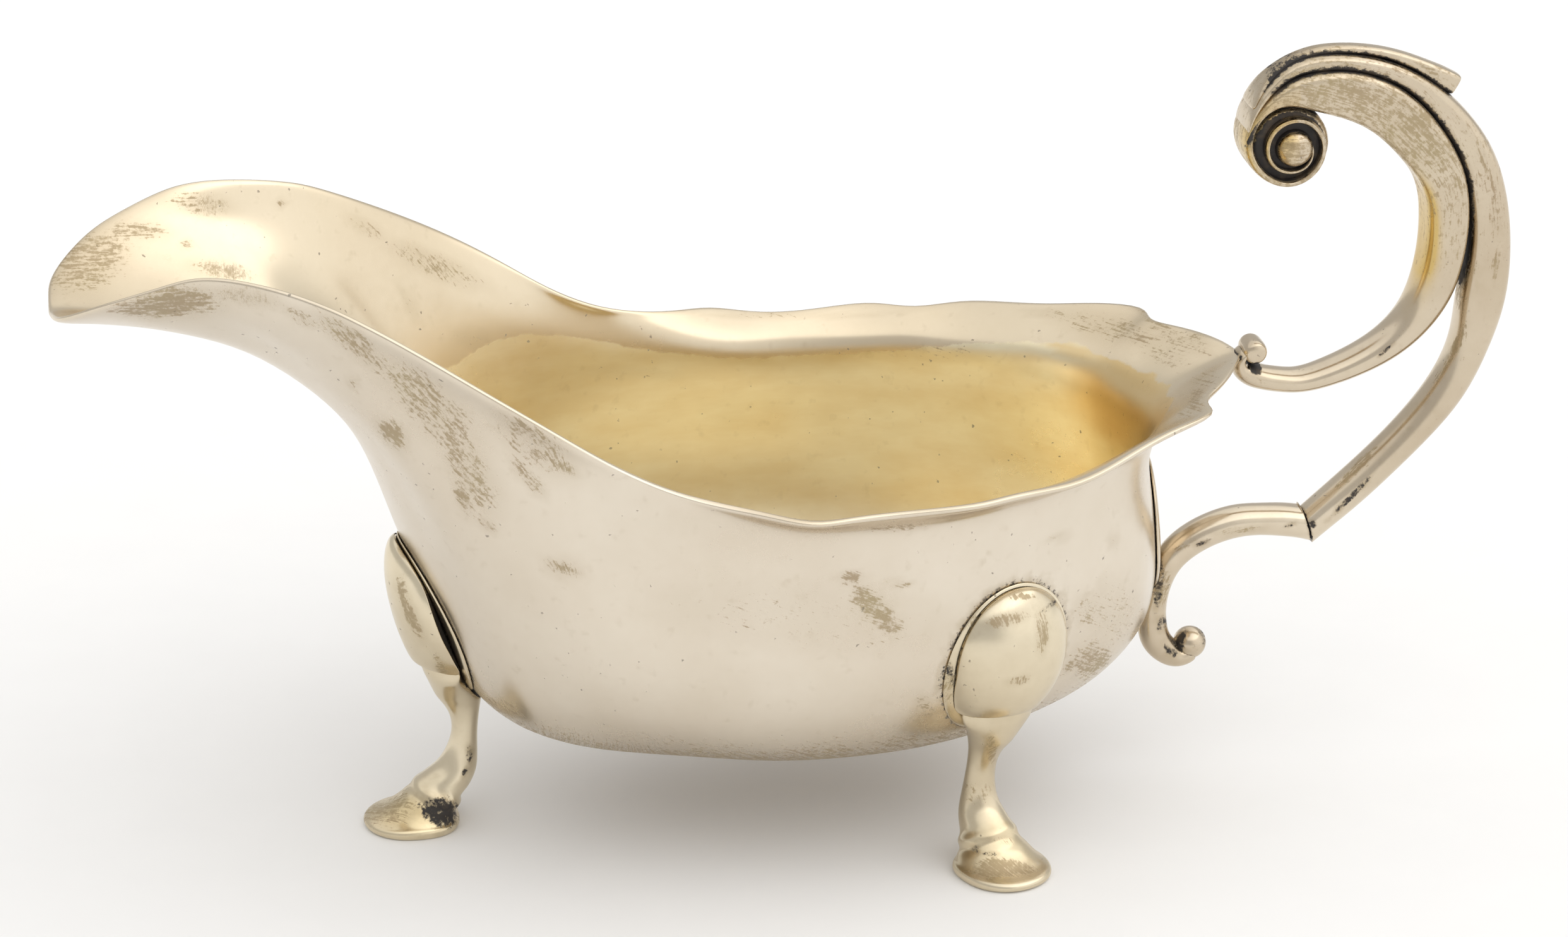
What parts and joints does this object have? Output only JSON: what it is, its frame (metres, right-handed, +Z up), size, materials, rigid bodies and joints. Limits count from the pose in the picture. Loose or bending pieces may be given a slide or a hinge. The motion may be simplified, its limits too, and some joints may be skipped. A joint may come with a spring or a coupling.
{
  "type": "footed sauce boat",
  "caption": "Open oval sauce boat with a high flared spout, wavy everted rim, hoof feet on oval pads and a double scroll handle.",
  "frame": {"origin": "on the surface the feet stand on, under the middle of the boat's overall length, in its middle plane", "axes": "+X from the spout towards the handle, +Y to the right of someone who faces the way the spout points, +Z up"},
  "size_m": [0.1876, 0.0758, 0.0993],
  "materials": {
    "bowl_silver": "polished silver with light tarnish, gilt inside",
    "cast_silver": "worn cast silver, darker in its grooves",
    "foot_silver": "worn warm silver"
  },
  "bodies": {
    "root": {"bowl": "bowl_silver", "handle_back_plate": "cast_silver", "handle_inner_scroll": "cast_silver", "handle_outer_scroll": "cast_silver", "handle_thumb_leaf": "cast_silver", "handle_lower_scroll": "cast_silver", "front_foot_plate": "foot_silver", "front_foot_knee": "foot_silver", "front_foot_leg": "foot_silver", "left_rear_foot_plate": "foot_silver", "left_rear_foot_knee": "foot_silver", "left_rear_foot_leg": "foot_silver", "right_rear_foot_plate": "foot_silver", "right_rear_foot_knee": "foot_silver", "right_rear_foot_leg": "foot_silver"}
  },
  "joints": []
}
